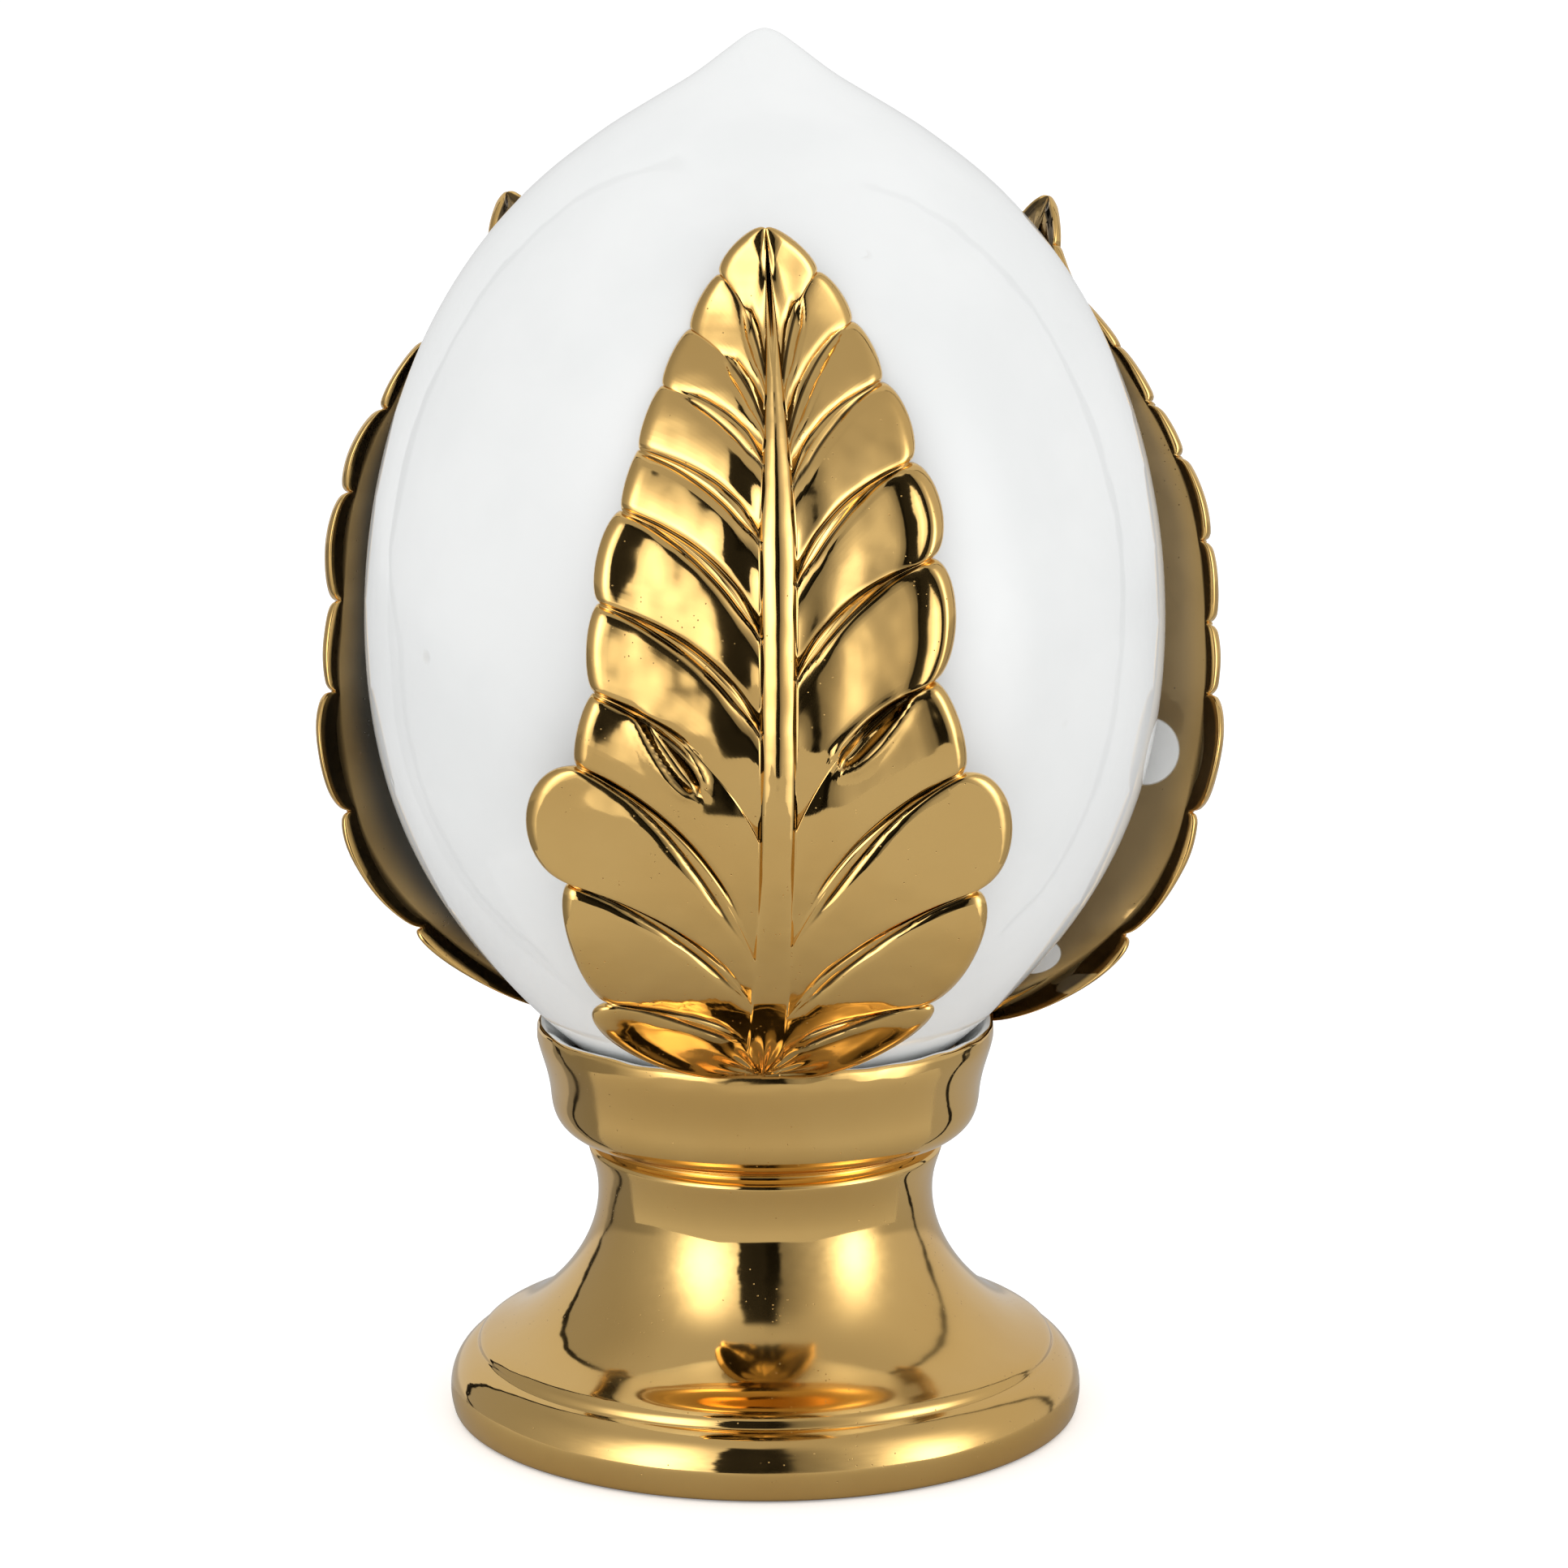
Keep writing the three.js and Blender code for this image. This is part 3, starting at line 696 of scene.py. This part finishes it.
def kilnMarks():
    # fine pits that crowd in patches, cloudy tone and the slow waves of a fired surface
    group = bpy.data.node_groups.new("kilnMarks", "ShaderNodeTree")
    face = group.interface
    face.new_socket("Vector", in_out="INPUT", socket_type="NodeSocketVector")
    for name in ("Pit Scale", "Pit Share", "Wave Scale"):
        face.new_socket(name, in_out="INPUT", socket_type="NodeSocketFloat")
    for name in ("Pits", "Clouds", "Height"):
        face.new_socket(name, in_out="OUTPUT", socket_type="NodeSocketFloat")
    start = group.nodes.new("NodeGroupInput")
    end = group.nodes.new("NodeGroupOutput")
    vector = start.outputs["Vector"]
    cells = addNode(group, "ShaderNodeTexVoronoi", {"Vector": vector, "Scale": start.outputs["Pit Scale"]})
    patches = fade(group, softNoise(group, vector, kiln["patchScale"], 3.0), *kiln["patchFade"],
                   kiln["pitsElsewhere"], 1.0)
    clouds = fade(group, softNoise(group, vector, kiln["cloudScale"], 4.0), *kiln["cloudFade"])
    waves = softNoise(group, vector, start.outputs["Wave Scale"], 1.0)
    chance = addNode(group, "ShaderNodeSeparateColor", {"Color": cells.outputs["Color"]}).outputs[0]
    chosen = calc(group, "LESS_THAN", chance, times(group, start.outputs["Pit Share"], patches))
    pits = times(group, fade(group, cells.outputs["Distance"], *kiln["pitEdge"]), chosen)
    group.links.new(pits, end.inputs["Pits"])
    group.links.new(clouds, end.inputs["Clouds"])
    group.links.new(minus(group, waves, times(group, pits, kiln["pitDepth"])), end.inputs["Height"])
    return group


marks = kilnMarks()

# The two finishes. Bump is in metres, pit and wave scales are to the metre.
whiteLook = {
    "color": (0.84, 0.85, 0.845, 1), "shade": (0.8, 0.812, 0.808, 1), "speck": (0.62, 0.6, 0.56, 1),
    "speckShare": 0.35, "roughFrom": 0.03, "roughTo": 0.048,
    "pitScale": 120.0, "pitShare": 0.05, "waveScale": 26.0, "bump": 0.0006,
}
goldLook = {
    "color": (0.86, 0.56, 0.2, 1), "shade": (0.74, 0.45, 0.14, 1), "shadeShare": 0.5,
    "pit": (0.22, 0.12, 0.04, 1), "pitDarkness": 0.7, "pitRough": 0.25, "roughFrom": 0.045, "roughTo": 0.12,
    "pitScale": 1500.0, "pitShare": 0.2, "waveScale": 80.0, "bump": 0.00012,
}
# On a leaf the fades say which values of its groove and wall attributes show; the groove and wall colours are
# painted shade
leafLook = goldLook | {
    "waveScale": 130.0, "bump": 0.0003,
    # painted shade colours: near-black brown in grooves and creases, dark grey on the wall behind the rim
    "groove": (0.045, 0.03, 0.014, 1), "grooveShadeFade": (0.25, 0.85), "grooveShadeShare": 0.92,
    "wallShade": (0.064, 0.08, 0.09, 1), "wallShadeFade": (0.1, 0.75), "bareFade": (0.38, 0.42),
}


def startMaterial(name, look):
    material = bpy.data.materials.new(name)
    material.use_nodes = True
    tree = material.node_tree
    shader = tree.nodes["Principled BSDF"]
    coords = addNode(tree, "ShaderNodeTexCoord").outputs["Object"]
    fired = addNode(tree, "ShaderNodeGroup", node_tree=marks)
    tree.links.new(coords, fired.inputs["Vector"])
    fired.inputs["Pit Scale"].default_value = look["pitScale"]
    fired.inputs["Pit Share"].default_value = look["pitShare"]
    fired.inputs["Wave Scale"].default_value = look["waveScale"]
    bump = addNode(tree, "ShaderNodeBump", {"Strength": 1.0, "Distance": look["bump"],
                                            "Height": fired.outputs["Height"]})
    tree.links.new(bump.outputs[0], shader.inputs["Normal"])
    return material, tree, shader, coords, fired


def whiteGlaze():
    look = whiteLook
    material, tree, shader, _, fired = startMaterial("whiteGlaze", look)
    tone = mixColor(tree, fired.outputs["Clouds"], look["color"], look["shade"])
    color = mixColor(tree, times(tree, fired.outputs["Pits"], look["speckShare"]), tone, look["speck"])
    tree.links.new(color, shader.inputs["Base Color"])
    rough = fade(tree, fired.outputs["Clouds"], 0, 1, look["roughFrom"], look["roughTo"])
    tree.links.new(rough, shader.inputs["Roughness"])
    shader.inputs["IOR"].default_value = 1.5
    return material


def goldLustre(name, bareMask=None, wallShadeLevel=None):
    # mirror-bright lustre; bareMask says where the white glaze shows, and the last argument how much painted
    # shade greys a leaf's wall
    look = goldLook if wallShadeLevel is None else leafLook
    material, tree, shader, coords, fired = startMaterial(name, look)
    clouds = times(tree, fired.outputs["Clouds"], look["shadeShare"])
    tone = mixColor(tree, clouds, look["color"], look["shade"])
    gold = mixColor(tree, times(tree, fired.outputs["Pits"], look["pitDarkness"]), tone, look["pit"])
    rough = plus(tree, fade(tree, fired.outputs["Clouds"], 0, 1, look["roughFrom"], look["roughTo"]),
                 times(tree, fired.outputs["Pits"], look["pitRough"]))
    tree.links.new(rough, shader.inputs["Roughness"])
    if wallShadeLevel is not None:
        groove = addNode(tree, "ShaderNodeAttribute", attribute_name="groove").outputs["Fac"]
        wall = addNode(tree, "ShaderNodeAttribute", attribute_name="wall").outputs["Fac"]
        # painted shade greys the wall behind the rim
        wallShadeHere = fade(tree, wall, *look["wallShadeFade"], 0.0, wallShadeLevel)
        gold = mixColor(tree, wallShadeHere, gold, look["wallShade"])
        # painted shade: near-black in grooves, creases, under the rim and at the leaf's foot
        grooveShadeHere = fade(tree, groove, *look["grooveShadeFade"], 0.0, look["grooveShadeShare"])
        gold = mixColor(tree, grooveShadeHere, gold, look["groove"])
    if bareMask is None:
        tree.links.new(gold, shader.inputs["Base Color"])
        shader.inputs["Metallic"].default_value = 1.0
        return material
    bare = bareMask(tree, coords)
    if wallShadeLevel is not None:
        bare = times(tree, bare, fade(tree, wall, *look["bareFade"]))
    tree.links.new(mixColor(tree, bare, gold, whiteLook["color"]), shader.inputs["Base Color"])
    tree.links.new(minus(tree, 1.0, bare), shader.inputs["Metallic"])
    return material


# Where the gold stops inside the cup's lip, in millimetres from the lip's edge and its top
lipPaint = {"inFromEdge": 1.2, "softEdge": 0.2, "wobble": 1.2, "wobbleScale": 70.0,
            "downFrom": 3.3, "downTo": 3.7}


def insideLip(tree, coords):
    # the inside of the cup's lip stays white, with a hand-brushed border
    parts = addNode(tree, "ShaderNodeSeparateXYZ", {0: coords})
    wobble = softNoise(tree, coords, lipPaint["wobbleScale"], 2.0)
    edge = minus(tree, fromAxis(tree, parts), times(tree, wobble, lipPaint["wobble"] * mm))
    border = foot["lipRadius"] - lipPaint["inFromEdge"]
    inside = fade(tree, edge, border * mm, (border - lipPaint["softEdge"]) * mm)
    low, top = lipLevel - lipPaint["downTo"], lipLevel - lipPaint["downFrom"]
    high = fade(tree, parts.outputs[2], low * mm, top * mm)
    return times(tree, inside, high)


def bareSpots(spots):
    def mask(tree, coords):
        total = None
        for centre, radius in spots:
            away = addNode(tree, "ShaderNodeVectorMath", {0: coords, 1: centre}, operation="DISTANCE")
            spot = fade(tree, away.outputs["Value"], radius, radius - 0.4 * mm)
            total = spot if total is None else calc(tree, "MAXIMUM", total, spot)
        return total
    return mask


# How much painted shade greys each leaf's wall, and where white shows on the right one: centre and radius in
# metres
wallShadeLevels = {"front": 0.92, "right": 0.65}
whitePatches = (((0.0676, 0.004, 0.1212), 0.0076), ((0.0492, 0.003, 0.083), 0.0046))

materials = {
    "bud": whiteGlaze(),
    "pedestal": goldLustre("goldLustreFoot", insideLip),
    "leaf_front": goldLustre("goldLustreLeaf", None, wallShadeLevels["front"]),
    "leaf_right": goldLustre("goldLustreLeafRight", bareSpots(whitePatches), wallShadeLevels["right"]),
}
materials["leaf_left"] = materials["leaf_front"]
print("materials made")

budMesh = turnedMesh("glazedBud", budLine, bud["turns"])
budPiece = newPiece("glazedBud", budMesh, materials["bud"])
footMesh = turnedMesh("turnedFoot", footOutline(), foot["turns"])
footPiece = newPiece("turnedFoot", footMesh, materials["pedestal"])
waverLip(footMesh)
print("bud and foot turned")

leafRows = []
for height in rowHeights():
    leftRow = halfRow(-1, *lobeAt(-1, height))
    rightRow = halfRow(1, *lobeAt(1, height))
    # the last point of each half comes twice, because leafMesh sets the outermost one back to the bud
    leafRows.append([leftRow[-1]] + leftRow[:0:-1] + rightRow + [rightRow[-1]])
leafPieces = {}
for node, (turn, drop) in leaf["places"].items():
    mesh = leafMesh(node + "Relief", leafRows, turn, drop)
    leafPieces[node] = newPiece(node + "Relief", mesh, materials[node])
    print(node, "made:", len(mesh.polygons), "faces")

pieces = {"bud": (budPiece, "white_glaze"), "pedestal": (footPiece, "gold_lustre_foot")}
for node, piece in leafPieces.items():
    pieces[node] = (piece, "gold_lustre_leaf")
for node, (piece, slot) in pieces.items():
    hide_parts(node)
    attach(piece, "root")

# The studio, in metres and degrees: a table, soft light panels to the left and right, and a dark gap
# at the camera. Angles go round from the camera, to the right and to the left below zero.
studio = {
    "tableSize": 4.8, "tableDrop": 0.0002, "viewTone": 0.93, "viewGlow": 0.28, "whiteTone": 0.86,
    # the part of the table that the gold mirrors, darker near the foot with a painted shadow
    "topLeft": -0.2, "topRight": 0.2, "topFront": -0.345, "topBack": 0.01, "topSoft": 0.004,
    "tableTone": 0.53, "shadowTone": 0.43, "shadowFrom": 0.05, "shadowReach": 0.2,
    # the panels, each with its level at both ends and a hot spot: angle, height, two widths, level
    "leftFade": (-110, -50), "leftLevels": (0.36, 0.55), "leftHot": (-40, 14, 18, 34, 2.9),
    "rightFade": (8, 44), "rightLevels": (0.22, 0.6), "rightHot": (62, 6, 15, 27, 3.2),
    "leftEnd": -136, "rightEnd": 124, "endSoft": 0.5, "middleSoft": 2, "wobbleScale": 9.0, "wobble": 6.0,
    "backLevel": 0.65, "topLevel": 0.5, "topFade": (40, 66), "lowFade": (-3, -9), "lowAside": (66, 90),
    "lowSideTone": 0.7,
    # the dark gap at the camera, and the slits at the panels' far ends with their shift below the horizon
    "gapLeft": -18, "gapLeftSoft": 2, "gapRight": 10, "gapRightSoft": 3, "gapTop": 56, "gapTopSoft": 3,
    "gapTone": 0.03, "slitFade": (2.2, 1.2), "slitTop": (66, 60), "leftSlitShift": 8, "rightSlitShift": -2,
    "diffuseLevel": 1.12, "viewLevel": 1.06,
}


def studioWorld():
    world = bpy.data.worlds.new("studio")
    bpy.context.scene.world = world
    world.use_nodes = True
    tree = world.node_tree
    s = studio
    direction = addNode(tree, "ShaderNodeTexCoord").outputs["Generated"]
    parts = addNode(tree, "ShaderNodeSeparateXYZ", {0: direction})
    degrees = 180 / math.pi
    ahead = times(tree, parts.outputs[1], -1.0)
    around = times(tree, calc(tree, "ARCTAN2", parts.outputs[0], ahead), degrees)
    wobble = minus(tree, softNoise(tree, direction, s["wobbleScale"], 2.0), 0.5)
    around = plus(tree, around, times(tree, wobble, s["wobble"]))
    up = times(tree, calc(tree, "ARCSINE", parts.outputs[2]), degrees)

    def hotSpot(azimuth, elevation, spread, height, level):
        a = calc(tree, "DIVIDE", minus(tree, around, azimuth), spread)
        e = calc(tree, "DIVIDE", minus(tree, up, elevation), height)
        total = plus(tree, times(tree, a, a), times(tree, e, e))
        return times(tree, calc(tree, "EXPONENT", times(tree, total, -1.0)), level)

    leftLight = plus(tree, hotSpot(*s["leftHot"]), fade(tree, around, *s["leftFade"], *s["leftLevels"]))
    rightLight = plus(tree, hotSpot(*s["rightHot"]), fade(tree, around, *s["rightFade"], *s["rightLevels"]))
    light = blend(tree, fade(tree, around, -s["middleSoft"], s["middleSoft"]), leftLight, rightLight)
    light = blend(tree, fade(tree, up, *s["topFade"]), light, s["topLevel"])
    # behind the panels' far ends is the pale backdrop
    soft = s["endSoft"]
    beyond = calc(tree, "MAXIMUM", fade(tree, around, s["rightEnd"] - soft, s["rightEnd"] + soft),
                  fade(tree, around, s["leftEnd"] + soft, s["leftEnd"] - soft))
    light = blend(tree, beyond, light, s["backLevel"])
    # dark slots: the wide gap at the camera and the thin ones at the panels' far ends
    gap = between(tree, around, s["gapLeft"], s["gapRight"], s["gapLeftSoft"], s["gapRightSoft"])
    gap = times(tree, gap, fade(tree, up, s["gapTop"] + s["gapTopSoft"], s["gapTop"] - s["gapTopSoft"]))
    below = fade(tree, up, *s["lowFade"])
    for end, shift in ((s["leftEnd"], s["leftSlitShift"]), (s["rightEnd"], s["rightSlitShift"])):
        place = plus(tree, times(tree, below, shift), end)
        offset = calc(tree, "ABSOLUTE", minus(tree, around, place))
        slit = times(tree, fade(tree, offset, *s["slitFade"]), fade(tree, up, *s["slitTop"]))
        gap = calc(tree, "MAXIMUM", gap, slit)
    light = times(tree, light, fade(tree, gap, 0, 1, 1.0, s["gapTone"]))
    # below the horizon the far sides are darker
    aside = fade(tree, calc(tree, "ABSOLUTE", around), *s["lowAside"])
    light = times(tree, light, fade(tree, times(tree, below, aside), 0, 1, 1.0, s["lowSideTone"]))
    # mirrors see the panels, matt surfaces and the camera an even white
    path = addNode(tree, "ShaderNodeLightPath")
    seen = addNode(tree, "ShaderNodeMix", {0: path.outputs["Is Glossy Ray"], 2: s["diffuseLevel"], 3: light})
    strength = addNode(tree, "ShaderNodeMix",
                       {0: path.outputs["Is Camera Ray"], 2: seen.outputs[0], 3: s["viewLevel"]})
    background = tree.nodes["Background"]
    background.inputs[0].default_value = (1, 1, 1, 1)
    tree.links.new(strength.outputs[0], background.inputs[1])


def tableTop():
    s = studio
    bm = bmesh.new()
    bmesh.ops.create_grid(bm, x_segments=1, y_segments=1, size=s["tableSize"] / 2)
    bmesh.ops.translate(bm, verts=bm.verts, vec=(0, 0, -s["tableDrop"]))
    mesh = bpy.data.meshes.new("tableTop")
    bm.to_mesh(mesh)
    bm.free()
    material = bpy.data.materials.new("paleTable")
    material.use_nodes = True
    tree = material.node_tree
    tree.nodes.remove(tree.nodes["Principled BSDF"])

    def matt(color):
        return addNode(tree, "ShaderNodeBsdfDiffuse", {"Color": color}).outputs[0]

    def mixShader(share, first, second):
        return addNode(tree, "ShaderNodeMixShader", {0: share, 1: first, 2: second}).outputs[0]

    # in the gold's mirror the table ends near the object
    parts = addNode(tree, "ShaderNodeSeparateXYZ", {0: addNode(tree, "ShaderNodeTexCoord").outputs["Object"]})
    soft = s["topSoft"]
    onTop = times(tree, between(tree, parts.outputs[0], s["topLeft"], s["topRight"], soft, soft),
                  between(tree, parts.outputs[1], s["topFront"], s["topBack"], soft, soft))
    shadowLevel, far, white, view = s["shadowTone"], s["tableTone"], s["whiteTone"], s["viewTone"]
    # a painted shadow darkens the mirrored table near the foot
    away = fade(tree, fromAxis(tree, parts), s["shadowFrom"], s["shadowReach"])
    shadowedTop = mixColor(tree, away, (shadowLevel, shadowLevel, shadowLevel * 0.97, 1), (far, far, far * 0.99, 1))
    beyond = addNode(tree, "ShaderNodeBsdfTransparent").outputs[0]
    inMirror = mixShader(onTop, beyond, matt(shadowedTop))
    # the camera sees it nearly white
    glow = addNode(tree, "ShaderNodeEmission", {"Strength": s["viewGlow"]}).outputs[0]
    inView = addNode(tree, "ShaderNodeAddShader", {0: matt((view, view, view, 1)), 1: glow}).outputs[0]
    path = addNode(tree, "ShaderNodeLightPath")
    indirect = mixShader(path.outputs["Is Glossy Ray"], matt((white, white, white, 1)), inMirror)
    surface = mixShader(path.outputs["Is Camera Ray"], indirect, inView)
    tree.links.new(surface, tree.nodes["Material Output"].inputs["Surface"])
    table = newPiece("tableTop", mesh, material)


# The view that the photo was taken from, in metres and degrees
photoView = {"lens": 121.8, "sensor": 36, "place": (0.0034, -0.932, 0.3073), "lookDown": 11.63}


def studioCamera():
    data = bpy.data.cameras.new("camera")
    data.lens = photoView["lens"]
    data.sensor_width = photoView["sensor"]
    data.clip_start = 0.01
    camera = bpy.data.objects.new("camera", data)
    camera.location = photoView["place"]
    camera.rotation_euler = (math.radians(90 - photoView["lookDown"]), 0, 0)
    bpy.context.scene.collection.objects.link(camera)
    bpy.context.scene.camera = camera


studioWorld()
tableTop()
studioCamera()
bpy.context.scene.view_settings.view_transform = "Standard"
print("studio lit")
